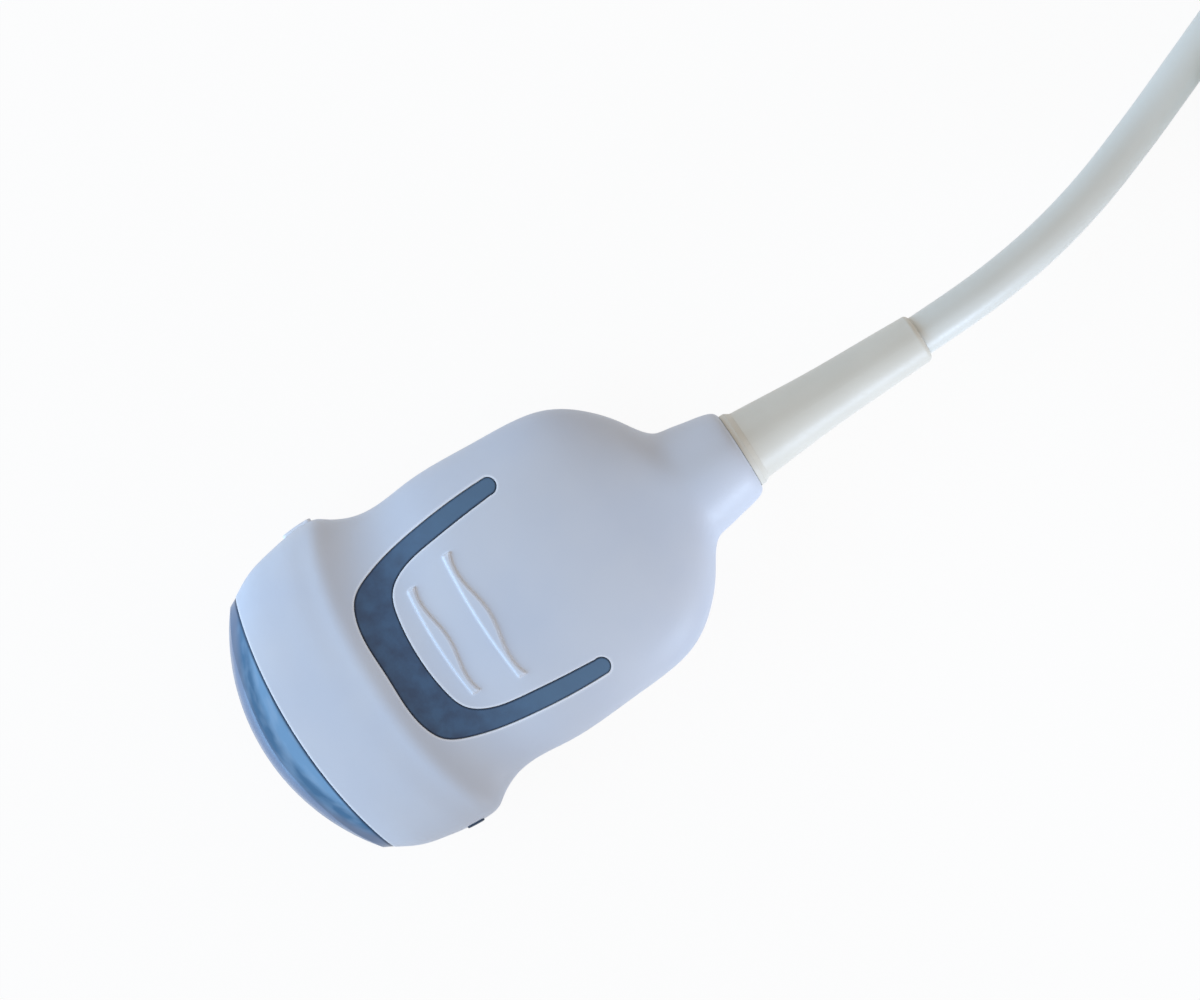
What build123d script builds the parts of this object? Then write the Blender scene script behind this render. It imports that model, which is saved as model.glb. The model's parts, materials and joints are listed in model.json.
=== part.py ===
from build123d import *
import math
import os

# Curved-array ultrasound probe with its cable and system connector, in millimetres.
# While it is drawn, x runs along the probe from the lens (-x) to the cable (+x), with
# x = 0 at the widest line of the head. y runs across it, and z = 0 is the parting plane.
# At the end all pieces move together, so that the head lies on z = 0 with its box centred.

# Housing
wall = 2.2                  # moulded wall of both shells
seam_front = -29.4          # middle of the line where the lens meets the shells
seam_radius = 122.0         # plan radius of that line
edge_bow = 2.4              # how square the bowed lines across the head are
around = 28                 # points round one section
lip_height = 0.9            # tongue on the lower shell's rim
lip_gap = 0.08
glue_line = 0.05            # bonded faces stay this far apart

# One row is one section of the housing: where it meets the side of the head, half the
# width, half the height, how far its middle bows to the lens, and how square it is.
lens_station = (-25.0, 33.8, 11.2, 4.6, 3.0)
stations = [
    (-41.0, 25.0, 9.4, 0.0, 2.8),
    (-36.5, 28.0, 9.9, 1.3, 2.85),
    (-32.0, 30.4, 10.4, 2.8, 2.9),
    (-28.2, 32.2, 10.8, 3.9, 2.95),
    lens_station,
    (-20.0, 36.5, 12.0, 5.4, 3.0),
    (-13.0, 38.4, 13.0, 6.4, 3.0),
    (-7.0, 39.35, 13.8, 7.2, 2.9),
    (-3.2, 39.55, 14.2, 7.6, 2.8),
    (-0.7, 39.35, 14.5, 7.7, 2.75),
    (0.6, 38.9, 14.35, 7.65, 2.7),
    (2.2, 37.8, 13.75, 7.45, 2.65),
    (5.0, 36.1, 12.9, 6.9, 2.55),
    (9.0, 34.7, 12.6, 5.8, 2.45),
    (14.0, 34.3, 13.1, 4.4, 2.4),
    (22.0, 35.0, 14.9, 2.0, 2.4),
    (30.0, 35.1, 15.8, 0.0, 2.4),
    (40.0, 34.5, 16.2, 0.0, 2.4),
    (50.0, 33.8, 15.9, 0.0, 2.4),
    (57.0, 32.3, 15.3, 0.0, 2.35),
    (62.0, 29.7, 14.6, 0.0, 2.3),
    (67.0, 25.4, 13.8, 0.0, 2.25),
    (71.0, 20.5, 13.2, 0.0, 2.2),
    (74.0, 16.0, 12.8, 0.0, 2.1),
    (76.2, 14.0, 12.5, 0.0, 2.05),
    (79.0, 13.3, 12.2, 0.0, 2.0),
    (84.0, 12.3, 11.7, 0.0, 2.0),
    (88.2, 11.4, 11.1, 0.0, 2.0),
    (89.9, 10.6, 10.5, 0.0, 2.0),
    (90.6, 9.5, 9.5, 0.0, 2.0),
]
neck_end = stations[-1][0]
rest_height = max(row[2] for row in stations)
cavity_end = 73.0           # back wall of the hollow in the shells
neck_bore = 6.0             # way from the hollow into the neck
socket_start = 79.0         # socket in the neck that holds the strain relief
socket_radius = 8.75

# Acoustic stack
lens_radius = 52.4          # outer face of the lens, in plan
array_centre = 14.0         # x of the axis that the lens and the array are bent round
lens_apex = array_centre - lens_radius
lens_crown = 2.0            # how far the lens bulges between its long edges
lens_edge = 4.6             # rounding of the lens's long edges
lens_depth = 13.4           # from the lens line back, before the shells' front cuts it
lens_skin = 1.2             # rubber in front of the array
lens_step = 0.24            # how far the lens lies inside the shells' faces
array_angle = 33.0          # half the angle that the array spans
array_height = 13.6         # elevation of the elements
matching_thick = (0.40, 0.45)
piezo_thick = 0.55
backing_thick = 8.0
element_count = 128
kerf = 0.06
kerf_depth = 0.45
stack_gap = 0.15            # between the stack and the frame round it
passage_spare = 0.6         # more room at its two ends, in degrees
frame_depth = 9.0           # array frame, behind the lens line
spreader_thick = 1.0
spreader_tongue = 30.0

# Inlays and raised bars on the broad faces
inlay_depth = 0.9
inlay_inset = 0.12          # the inlay's face lies this far below the shell's
inlay_gap = 0.12
inlay_outer = [
    (38.2, 26.1), (30.0, 25.9), (20.0, 25.0), (10.5, 23.5), (3.6, 21.5), (-1.2, 18.8), (-3.7, 14.0),
]
inlay_inner = [(4.6, 10.0), (6.6, 15.4), (11.0, 18.5), (20.0, 20.4), (30.0, 21.5), (37.2, 22.1)]
inlay_front = -4.5
inlay_back = 3.7
bar_height = 0.7
bar_length = (27.7, 32.5)   # the bar nearer the lens first
bar_start = (9.6, 20.6)     # x of each bar's ends
bar_bow = 0.85              # how far its middle bows to the lens
bar_width = (2.0, 2.95)     # at its ends and at the swell in its middle
swell_reach = (2.6, 7.0)    # half the swell's length, at its top and at its foot
bar_rounding = 0.45

# Marker on one side of the head, and the moulded ridge on the other
marker_size = (4.2, 1.5)    # length and height
marker_place = (-6.0, 3.4)  # x and height above the parting plane
marker_proud = 0.35
marker_depth = 1.0
ridge_size = (7.6, 2.0)
ridge_x = -4.6
ridge_proud = 0.7
ridge_rounding = 0.3
seam_groove = (0.3, 0.15)   # depth and half the width of the line where the shells meet

# Boards inside
carrier_start = -10.0
carrier_length = 56.0
carrier_width = 37.0
carrier_height = 6.4
carrier_rail = 3.0
ear_length = 8.0
ear_reach = 6.0
post_radius = 2.6
board_thick = 1.6
board_gap = 0.1
board_inset = 0.5           # from the carrier's edges to the board's
header_height = 1.9
header_width = 3.2
header_inset = 5.0          # from the carrier's end to the middle of a header
wire_header_length = 26.0
flex_thick = 0.15
flex_start = 0.6            # how far the flex circuit's front edge lies behind the elements
flex_half_width = 14.0      # at the boards
flex_overlap = 1.0          # from the carrier's end to where it is that narrow

# Cable, its strain relief and the pieces that hold it in the neck
cable_diameter = 9.6
cable_radius = cable_diameter / 2
core_radius = 3.6           # conductors inside the jacket
harness_fan = (wire_header_length, 9.0, 3.0)  # width, height and corners where it meets the boards
harness_round = 68.0        # x from which it is round
boot_end = 139.5
boot_profile = [(93.2, 8.5), (101.0, 7.9), (112.0, 7.05), (125.0, 6.5), (138.0, 6.0)]
boot_collar = (91.9, 9.3)
boot_flange = (82.2, 84.8, 9.9)
boot_lip = 1.3              # rounding of its far edge
fit_gap = 0.05
clamp_start = 74.6
ferrule_radius = 4.6
ferrule_end = 95.0
jacket_start = 112.0        # end face of the cable's jacket inside the strain relief
seal_thick = 1.5

# Route of the cable, from inside the strain relief to the hank
cable_route = [
    (jacket_start, 0.0, 0.0),
    (146.0, 0.0, 0.0),
    (169.0, 1.7, -2.8),
    (189.0, 5.9, -6.8),
]

# Hank: three turns on the floor, two in the grooves between them and one on top
hank_place = (272.0, -10.8)  # middle of the end that the cable comes to
hank_straight = 50.0        # from there to the middle of the far end
hank_middle = 36.0          # bend of its middle turns
hank_entry = 22.0           # direction of the cable where it joins the hank, in degrees
hank_exit = (-22.0, -0.7)   # direction and slope where it leaves
entry_run = 19.0            # last straight run before the hank
tie_width = 12.0
tie_thick = 1.0
tie_gap = 0.1

# Connector
tail_bend = 389.0           # x where the cable turns into the connector's direction
plug_start = 422.0
plug_y = 1.0
plug_length = 84.0
plug_width = 52.0
plug_wall = 2.4
plug_corner = 8.0
plug_base = 8.0             # height of its underside over the floor
plug_split = 22.0           # height of its parting line and of the cable's axis
plug_top = 36.0
plug_rounding = 3.0
plug_boot = 24.0
plug_boot_radius = (6.4, 8.6)
plug_boot_neck = 7.0
plug_boot_flange = (8.6, 2.0)  # radius and thickness
plug_boot_shoulder = 2.0    # length of its thickest part
plug_boot_edge = 1.0        # chamfer of its thin end
jacket_in_plug = 7.0        # how far the jacket reaches into the connector's boot
shroud_size = (66.0, 36.0)
shroud_corner = 4.0
shroud_wall = 1.6
shroud_gap = 0.3
contact_floor = 2.5         # height of the contact block's underside
contact_rows = (17, 9)
contact_pitch = (3.5, 3.2)
contact_size = (1.5, 0.9)
contact_proud = 0.8
contact_clear = 1.5         # no contacts this close to the swing of the lock shaft's bar
plug_board = (64.0, 40.0)
plug_board_height = 12.0
plug_board_clear = 1.0      # round the lock shaft
standoff_radius = 2.4
standoff_inset = 4.0
post_wall = 1.0             # more than the standoffs, for the screws
screw_radius = 1.25
screw_head = (2.4, 1.5)     # radius and height
screw_slot = (0.6, 1.2)
screw_depth = 8.0           # into the cover's posts
screw_inset = 5.6
screw_play = 0.5            # free depth past a screw's end
head_gap = 0.1              # how far a screw's head lies inside the base
shaft_radius = 4.0
shaft_fit = 0.05
shaft_tip = (11.0, 3.4, 1.6)
shaft_end = 0.6             # height of the shaft's tip over the floor
bushing_radius = 6.0
bushing_flange = (8.0, 1.4)
lever_gap = 0.4
lever_height = 8.5
lever_radius = 14.0
lever_reach = 31.0
lever_width = 11.0
lever_corner = 5.0
lever_rounding = 2.0
lever_socket = 6.0
rib_count = 3               # finger grooves along each side of the lever's end
rib_pitch = 3.0
rib_radius = 0.7

tall = 80.0                 # a cutter this tall runs through the whole housing
wide = 600.0                # and one this wide past both of its ends
over = 1.0                  # how far a cutter runs past the face that it cuts
to_stand = Pos(-(lens_apex + boot_end) / 2, 0, rest_height)
floor = -rest_height


def section(row, slope, inset):
    """Closed curve round the housing at one station, inset from the outer face."""
    end_x, half_width, half_height, bulge, square = row
    w = half_width - inset * math.hypot(1, slope[0])
    h = half_height - inset * math.hypot(1, slope[1])
    points = []
    for i in range(around):
        a = 2 * math.pi * i / around
        c, s = math.cos(a), math.sin(a)
        reach = (abs(c) ** square + abs(s) ** square) ** (-1 / square)
        y = w * reach * c
        points.append((end_x - bulge * (1 - abs(y / w) ** edge_bow), y, h * reach * s))
    steps = [i / around for i in range(around + 1)]
    return Wire([Edge.make_spline(points, periodic=True, parameters=steps)])


def housing_body(inset=0.0, last=None):
    """Solid inside the housing's outer face, inset from it, as far as the last station."""
    rows = [row for row in stations if last is None or row[0] <= last]
    wires = []
    for i, row in enumerate(rows):
        before, after = rows[max(i - 1, 0)], rows[min(i + 1, len(rows) - 1)]
        run = after[0] - before[0]
        slope = [(after[k] - before[k]) / run for k in (1, 2)]
        wires.append(section(row, slope, inset))
    return Solid.make_loft(wires)


def upper(shape):
    return shape & Pos(0, 0, tall / 2) * Box(wide, wide, tall)


def ahead_of(end, height):
    """Everything in front of x = end, within a height."""
    return Pos(end - wide / 2, 0, 0) * Box(wide, wide, height)


def lower(shape):
    return mirror(shape, about=Plane.XY)


def rod(radius, start, end, y=0.0, z=0.0):
    """Cylinder along x."""
    return Pos((start + end) / 2, y, z) * Rot(0, 90, 0) * Cylinder(radius, end - start)


def behind_seam(offset=0.0):
    """Everything behind the bowed line where the lens ends, shifted by offset."""
    centre = seam_front + seam_radius + offset
    return Pos(centre, 0, 0) * Cylinder(seam_radius, tall)


def stack_point(radius, angle):
    return (array_centre - radius * math.cos(angle), radius * math.sin(angle))


def stack_band(inner, outer, half_angle, height):
    """Band bent round the array's axis."""
    a = math.radians(half_angle)
    outline = make_face([
        ThreePointArc(*[stack_point(outer, b) for b in (-a, 0, a)]),
        Line(stack_point(outer, a), stack_point(inner, a)),
        ThreePointArc(*[stack_point(inner, b) for b in (a, 0, -a)]),
        Line(stack_point(inner, -a), stack_point(outer, -a)),
    ])
    return Pos(0, 0, -height / 2) * extrude(outline, height)


def moved_right(points, gap):
    """A run of points in plan, each moved by a gap to the right of the way it goes."""
    moved = []
    for i, (x, y) in enumerate(points):
        before, after = points[max(i - 1, 0)], points[min(i + 1, len(points) - 1)]
        run = (after[0] - before[0], after[1] - before[1])
        size = math.hypot(*run)
        moved.append((x + gap * run[1] / size, y - gap * run[0] / size))
    return moved


def inlay_outline(grow):
    """Plan of the U-shaped inlay, grown all round by a gap."""
    outer = inlay_outer + [(inlay_front, 0)] + [(x, -y) for x, y in reversed(inlay_outer)]
    inner = [(x, -y) for x, y in reversed(inlay_inner)] + [(inlay_back, 0)] + inlay_inner
    outer = moved_right(outer, grow)
    inner = moved_right(inner, grow)
    (outer_x, outer_y), (inner_x, inner_y) = outer[0], inner[-1]
    tip_x = (outer_x + inner_x) / 2 + (outer_y - inner_y) / 2
    tip_y = (outer_y + inner_y) / 2
    return make_face([
        Spline(*outer),
        ThreePointArc(outer[-1], (tip_x, -tip_y), inner[0]),
        Spline(*inner),
        ThreePointArc(inner[-1], (tip_x, tip_y), outer[0]),
    ])


def bar_outline(start, length):
    """Plan of one raised bar, bowed to the lens, with one swell on its other side."""
    narrow, wide = bar_width
    top, foot = swell_reach
    half = length / 2
    places = (-half, -foot, -top, top, foot, half)
    widths = (narrow, narrow, wide, wide, narrow, narrow)
    rear = [(start - bar_bow * (1 - (y / half) ** 2) + w, y) for y, w in zip(places, widths)]
    return make_face([
        Spline(*rear),
        Line(rear[-1], (start, half)),
        ThreePointArc((start, half), (start - bar_bow, 0), (start, -half)),
        Line((start, -half), rear[0]),
    ])


def element_comb(outer):
    """Array of elements, sawn apart from the front into one curved strip."""
    pitch = math.radians(2 * array_angle) / element_count
    half_kerf = kerf / 2 / outer
    outline = []
    for i in range(element_count):
        low = -math.radians(array_angle) + i * pitch
        high = low + pitch
        if i:
            low += half_kerf
            outline.append(stack_point(outer - kerf_depth, low))
        outline.append(stack_point(outer, low))
        if i < element_count - 1:
            high -= half_kerf
        outline.append(stack_point(outer, high))
        if i < element_count - 1:
            outline.append(stack_point(outer - kerf_depth, high))
    a = math.radians(array_angle)
    inner = outer - piezo_thick
    face = make_face([
        Polyline(*outline),
        Line(outline[-1], stack_point(inner, a)),
        ThreePointArc(*[stack_point(inner, b) for b in (a, 0, -a)]),
        Line(stack_point(inner, -a), outline[0]),
    ])
    return Pos(0, 0, -array_height / 2) * extrude(face, array_height)


def flex_circuit(front, low):
    """Thin circuit from the elements' long edge to the header on the board."""
    a = math.radians(array_angle)
    rear = carrier_start + header_inset + header_width / 2
    fan = [stack_point(front, a), stack_point(front - backing_thick, a),
           (carrier_start + flex_overlap, flex_half_width), (rear, flex_half_width)]
    flip = [(x, -y) for x, y in reversed(fan)]
    face = make_face([
        Polyline(*fan, *flip),
        ThreePointArc(flip[-1], stack_point(front, 0), fan[0]),
    ])
    return Pos(0, 0, low) * extrude(face, flex_thick)


def strain_relief():
    """Tapered sleeve that the neck holds by its flange."""
    start = socket_start + seal_thick + fit_gap
    root = socket_radius - fit_gap
    flange_start, flange_end, flange = boot_flange
    collar_end, collar = boot_collar
    tip = boot_profile[-1]
    bore = cable_radius + fit_gap
    sleeve = core_radius + fit_gap
    ferrule = ferrule_radius + fit_gap
    corner = boot_lip * (1 - math.sqrt(0.5))
    inside = [
        (boot_end, tip[1] - boot_lip), (boot_end, bore), (jacket_start, bore), (jacket_start, sleeve),
        (ferrule_end + fit_gap, sleeve), (ferrule_end + fit_gap, ferrule), (start, ferrule),
        (start, root), (flange_start, root), (flange_start, flange), (flange_end, flange),
        (flange_end, root), (neck_end + fit_gap, root), (neck_end + fit_gap, collar),
        (collar_end, collar), boot_profile[0],
    ]
    half = make_face([
        Spline(*boot_profile),
        ThreePointArc(tip, (boot_end - corner, tip[1] - corner), inside[0]),
        Polyline(*inside),
    ])
    return revolve(Plane.XZ * half, Axis.X)


def leave_hank(middle_x, radius, height, heading, slope, side):
    """Straight end that leaves a turn until it is clear of the hank, its last point and its way."""
    clear = hank_middle + cable_diameter + 2 * cable_radius
    reach = math.sqrt(clear ** 2 - radius ** 2)
    a = math.radians(heading)
    rise = math.radians(slope)
    way = Vector(side * math.cos(a) * math.cos(rise), math.sin(a) * math.cos(rise), math.sin(rise))
    touch = Vector(middle_x - side * radius * math.sin(a), hank_place[1] + radius * math.cos(a), height)
    stop = touch + way * reach
    end = Plane(stop, z_dir=-way) * Pos(0, 0, reach / 2) * Cylinder(cable_radius, reach)
    return end, stop, way


def cord_tube(name, route):
    """Round tube along straight runs joined by arcs as large as the runs allow."""
    runs = [b - a for a, b in zip(route, route[1:])]
    radii = []
    for a, b in zip(runs, runs[1:]):
        turn = math.radians(a.get_angle(b))
        radii.append(0.45 * min(a.length, b.length) / math.tan(turn / 2))
    path = FilletPolyline(*route, radius=radii) if len(route) > 2 else Line(*route)
    tube = sweep(Plane(path @ 0, z_dir=path % 0) * Circle(cable_radius), path=path)
    expected = math.pi * cable_radius ** 2 * path.length
    print(name, "radii", [round(r) for r in radii], "length", round(path.length, 1),
          "volume share", round(tube.volume / expected, 4))
    return tube


def plug_solid(low, high, inset=0.0):
    plan = RectangleRounded(plug_length - 2 * inset, plug_width - 2 * inset, plug_corner - inset)
    return Pos(0, 0, low) * extrude(plan, high - low)


def upright(radius, low, high, x=0.0, y=0.0):
    return Pos(x, y, (low + high) / 2) * Cylinder(radius, high - low)


def connector():
    """The system connector, about its own middle, with its height over the floor."""
    made = {}
    corner_x = plug_length / 2 - screw_inset
    corner_y = plug_width / 2 - screw_inset
    corners = [(x, y) for x in (-corner_x, corner_x) for y in (-corner_y, corner_y)]
    wall_x = -plug_length / 2
    entry = rod(plug_boot_neck + fit_gap, wall_x - over, wall_x + plug_wall + over, 0, plug_split)

    base = plug_solid(plug_base, plug_split)
    base = fillet(base.faces().sort_by(Axis.Z)[0].edges(), plug_rounding)
    base -= plug_solid(plug_base + plug_wall, plug_split + over, plug_wall)
    board_x, board_y = plug_board[0] / 2 - standoff_inset, plug_board[1] / 2 - standoff_inset
    for x in (-board_x, board_x):
        for y in (-board_y, board_y):
            base += upright(standoff_radius, plug_base + plug_wall, plug_board_height, x, y)
    cover = plug_solid(plug_split, plug_top)
    cover = fillet(cover.faces().sort_by(Axis.Z)[-1].edges(), plug_rounding)
    cover -= plug_solid(plug_split - over, plug_top - plug_wall, plug_wall)
    head_radius, head_height = screw_head
    screws = Part()
    for x, y in corners:
        base += upright(standoff_radius + post_wall, plug_base + over, plug_split, x, y)
        base -= upright(head_radius + fit_gap, plug_base - over, plug_base + head_height, x, y)
        base -= upright(screw_radius + fit_gap, plug_base, plug_split + over, x, y)
        cover += upright(standoff_radius + post_wall, plug_split, plug_top - over, x, y)
        cover -= upright(screw_radius + fit_gap, plug_split - over, plug_split + screw_depth, x, y)
        screw = upright(head_radius, plug_base + head_gap, plug_base + head_height, x, y)
        screw += upright(screw_radius, plug_base + over, plug_split + screw_depth - screw_play, x, y)
        slot = Pos(x, y, plug_base) * Box(2 * head_radius, *screw_slot)
        screws += screw - slot
    shaft_way = upright(shaft_radius + shaft_fit, 0, plug_top + over)
    made["connector_base"] = base - entry - shaft_way
    made["connector_cover"] = cover - entry - upright(bushing_radius + fit_gap, plug_split, plug_top + over)
    made["connector_screws"] = screws

    outer = RectangleRounded(*shroud_size, shroud_corner)
    inner = offset(outer, -shroud_wall)
    made["connector_shroud"] = extrude(outer - inner, plug_base)
    block = offset(inner, -shroud_gap)
    block = Pos(0, 0, contact_floor) * extrude(block, plug_base - contact_floor)
    made["contact_block"] = block - shaft_way
    pads = Sketch()
    rows_x, rows_y = contact_rows
    clear = shaft_tip[0] / 2 + contact_clear
    for i in range(rows_x):
        for j in range(rows_y):
            x = (i - (rows_x - 1) / 2) * contact_pitch[0]
            y = (j - (rows_y - 1) / 2) * contact_pitch[1]
            if math.hypot(x, y) > clear:
                pads += Pos(x, y) * Rectangle(*contact_size)
    made["contact_pins"] = Pos(0, 0, contact_floor - contact_proud) * extrude(pads, contact_proud)

    board_plan = Rectangle(*plug_board) - Circle(shaft_radius + plug_board_clear)
    made["connector_board"] = Pos(0, 0, plug_board_height) * extrude(board_plan, board_thick)
    flange_radius, flange_thick = bushing_flange
    ceiling = plug_top - plug_wall
    bushing = upright(bushing_radius, ceiling - flange_thick, plug_top)
    bushing += upright(flange_radius, ceiling - flange_thick, ceiling)
    made["shaft_bushing"] = bushing - shaft_way

    lever_low = plug_top + lever_gap
    socket_top = lever_low + lever_socket
    shaft = upright(shaft_radius, shaft_end, socket_top)
    tip_length, tip_width, tip_height = shaft_tip
    shaft += Pos(0, 0, shaft_end + tip_height / 2) * Box(tip_length, tip_width, tip_height)
    made["lock_shaft"] = shaft
    plan = Circle(lever_radius)
    plan += Pos(lever_reach / 2, 0) * RectangleRounded(lever_reach, lever_width, lever_corner)
    lever = Pos(0, 0, lever_low) * extrude(plan, lever_height)
    lever = fillet(lever.faces().sort_by(Axis.Z)[-1].edges(), lever_rounding)
    for i in range(rib_count):
        x = lever_reach - lever_corner - (i + 0.5) * rib_pitch
        for side in (-1, 1):
            y = side * lever_width / 2
            lever -= upright(rib_radius, lever_low - over, lever_low + lever_height + over, x, y)
    made["lock_lever"] = lever - upright(shaft_radius + fit_gap, lever_low - over, socket_top)
    made["connector_boot"] = connector_boot(wall_x)
    return made


def connector_boot(wall_x):
    """Short strain relief that the connector's two halves hold by its flange."""
    thin, thick = plug_boot_radius
    start = wall_x - plug_boot
    inner = wall_x + plug_wall
    bore = cable_radius + fit_gap
    sleeve = core_radius + fit_gap
    flange, flange_thick = plug_boot_flange
    half = make_face([
        Polyline(
            (start, bore), (start, thin - plug_boot_edge), (start + plug_boot_edge, thin),
            (wall_x - plug_boot_shoulder, thick), (wall_x - fit_gap, thick),
            (wall_x - fit_gap, plug_boot_neck), (inner + fit_gap, plug_boot_neck),
            (inner + fit_gap, flange), (inner + flange_thick, flange), (inner + flange_thick, sleeve),
            (start + jacket_in_plug, sleeve), (start + jacket_in_plug, bore), close=True),
    ])
    return Pos(0, 0, plug_split) * revolve(Plane.XZ * half, Axis.X)


def bored(shape):
    """The neck's way through, its socket and the groove that holds the strain relief."""
    shape -= rod(neck_bore, cavity_end - over, socket_start + over)
    shape -= rod(socket_radius, socket_start, neck_end + over)
    start, end, radius = boot_flange
    return shape - rod(radius + fit_gap, start - fit_gap, end + fit_gap)


def post_places():
    """Where the shells hold the board carrier."""
    reach = carrier_width / 2 + ear_reach - post_radius
    for x in (carrier_start + ear_length / 2, carrier_start + carrier_length - ear_length / 2):
        for y in (-reach, reach):
            yield x, y


def half_shell():
    """Plain upper shell, with its posts, bars and the recess for the inlay."""
    shell = upper(outer_body & behind_seam()) - hollow
    posts = Sketch() + [Pos(x, y) * Circle(post_radius) for x, y in post_places()]
    column = Pos(0, 0, carrier_height / 2 + glue_line) * extrude(posts, tall / 2)
    shell += column & housing_body(wall / 2)
    recess = extrude(inlay_outline(inlay_gap), tall / 2)
    shell -= recess - recess_body
    for start, length in zip(bar_start, bar_length):
        bar = extrude(bar_outline(start, length), tall / 2) & bar_body
        top_face = bar.faces().sort_by(Axis.Z)[-1]
        shell += fillet(top_face.edges(), bar_rounding) - hollow
    ridge = side_bar(ridge_x, 0, ridge_size, 1) & housing_body(-ridge_proud)
    ridge = fillet(ridge.faces().sort_by(Axis.Y)[-1].edges(), ridge_rounding)
    shell += upper(ridge - hollow)
    depth, half_width = seam_groove
    ring = outer_body - housing_body(depth)
    return shell - (ring & Box(wide, wide, 2 * half_width))


def side_bar(x, z, size, side, grow=0.0):
    """Bar with round ends, as long as the head is wide on one side of it."""
    length, height = size
    bar = SlotOverall(length + 2 * grow, height + 2 * grow)
    return extrude(Plane((x, 0, z), x_dir=(1, 0, 0), z_dir=(0, side, 0)) * bar, tall)


def marker(grow, proud):
    """Rounded bar set in the side of the head."""
    x, z = marker_place
    return (side_bar(x, z, marker_size, -1, grow) & housing_body(-proud)) - housing_body(marker_depth)


# Housing
outer_body = housing_body()
recess_body = housing_body(inlay_depth)
bar_body = housing_body(-bar_height)
hollow = housing_body(wall, last=cavity_end + over) & ahead_of(cavity_end, tall)
rim = behind_seam(frame_depth) & ahead_of(cavity_end, 2 * lip_height)
tongue = (housing_body(wall / 2 + lip_gap, last=cavity_end + over) & rim) - hollow
groove = housing_body(wall / 2, last=cavity_end + over) & behind_seam(frame_depth - lip_gap)
groove &= ahead_of(cavity_end + lip_gap, 2 * (lip_height + lip_gap))
plain_shell = half_shell()

pieces = {}
pieces["top_shell"] = bored(plain_shell - groove - marker(fit_gap, 1))
pieces["bottom_shell"] = lower(bored(plain_shell + tongue))
pieces["top_grip_inlay"] = extrude(inlay_outline(0), tall / 2) & housing_body(inlay_inset)
pieces["top_grip_inlay"] -= housing_body(inlay_depth - glue_line)
pieces["bottom_grip_inlay"] = lower(pieces["top_grip_inlay"])
pieces["orientation_marker"] = marker(0, marker_proud)

# Acoustic stack, from the lens inwards
lens_half = lens_station[2] - lens_step
lens_rear = seam_front + lens_depth
crown_x = lens_apex + lens_crown
profile = make_face([
    ThreePointArc((crown_x, -lens_half), (lens_apex, 0), (crown_x, lens_half)),
    Polyline((crown_x, lens_half), (lens_rear, lens_half), (lens_rear, -lens_half), (crown_x, -lens_half)),
])
profile = fillet(profile.vertices().sort_by(Axis.X)[:2], lens_edge)
lens = revolve(Plane.XZ * profile, Axis((array_centre, 0, 0), (0, 0, 1)))
stack_face = lens_radius - lens_skin
passage_height = array_height + 2 * (stack_gap + flex_thick)
passage_angle = array_angle + math.degrees(stack_gap / stack_face) + passage_spare
passage = stack_band(array_centre, stack_face, passage_angle, passage_height)
lens = (lens & housing_body(lens_step / 2)) - behind_seam(-glue_line) - passage
pieces["acoustic_lens"] = lens
radius = stack_face
for name, thick in zip(("outer_matching_layer", "inner_matching_layer"), matching_thick):
    radius -= glue_line
    pieces[name] = stack_band(radius - thick, radius, array_angle, array_height)
    radius -= thick
radius -= glue_line
pieces["piezo_array"] = element_comb(radius)
flex_front = radius - flex_start
radius -= piezo_thick + glue_line
pieces["backing_block"] = stack_band(radius - backing_thick, radius, array_angle, array_height)
radius -= backing_thick + glue_line
back_plate = stack_band(radius - spreader_thick, radius, array_angle, array_height)
tongue_start = array_centre - radius + spreader_thick / 2
tongue_run = carrier_start - glue_line - tongue_start
spreader = Pos(tongue_start + tongue_run / 2, 0, 0) * Box(tongue_run, spreader_tongue, spreader_thick)
spreader -= stack_band(radius - spreader_thick / 2, radius + backing_thick, array_angle, array_height)
pieces["heat_spreader"] = back_plate + spreader
frame = housing_body(wall + 2 * fit_gap, last=cavity_end + over) & behind_seam(glue_line)
pieces["array_frame"] = frame - behind_seam(frame_depth) - passage

# Boards on their carrier
half_carrier = carrier_height / 2
carrier_middle = carrier_start + carrier_length / 2
carrier = Pos(carrier_middle, 0) * Rectangle(carrier_length, carrier_width)
window = (carrier_length - 3 * carrier_rail) / 2
for side in (-1, 1):
    middle = carrier_middle + side * (window + carrier_rail) / 2
    carrier -= Pos(middle, 0) * Rectangle(window, carrier_width - 2 * carrier_rail)
for x, y in post_places():
    ear = carrier_width / 2 + ear_reach - carrier_rail
    carrier += Pos(x, math.copysign(carrier_rail + ear / 2, y)) * Rectangle(ear_length, ear)
pieces["board_carrier"] = Pos(0, 0, -half_carrier) * extrude(carrier, carrier_height)
board = Rectangle(carrier_length - 2 * board_inset, carrier_width - 2 * board_inset)
board = Pos(carrier_middle, 0, half_carrier + board_gap) * extrude(board, board_thick)
header_floor = half_carrier + board_gap + board_thick
headers = Part()
header_rows = (
    (carrier_start + header_inset, 2 * flex_half_width),
    (carrier_start + carrier_length - header_inset, wire_header_length),
)
for x, length in header_rows:
    headers += Pos(x, 0, header_floor) * extrude(Rectangle(header_width, length), header_height)
pieces["upper_board"] = board
pieces["lower_board"] = lower(board)
pieces["upper_headers"] = headers
pieces["lower_headers"] = lower(headers)
pieces["upper_flex"] = flex_circuit(flex_front, header_floor + header_height + glue_line)
pieces["lower_flex"] = lower(pieces["upper_flex"])

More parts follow.
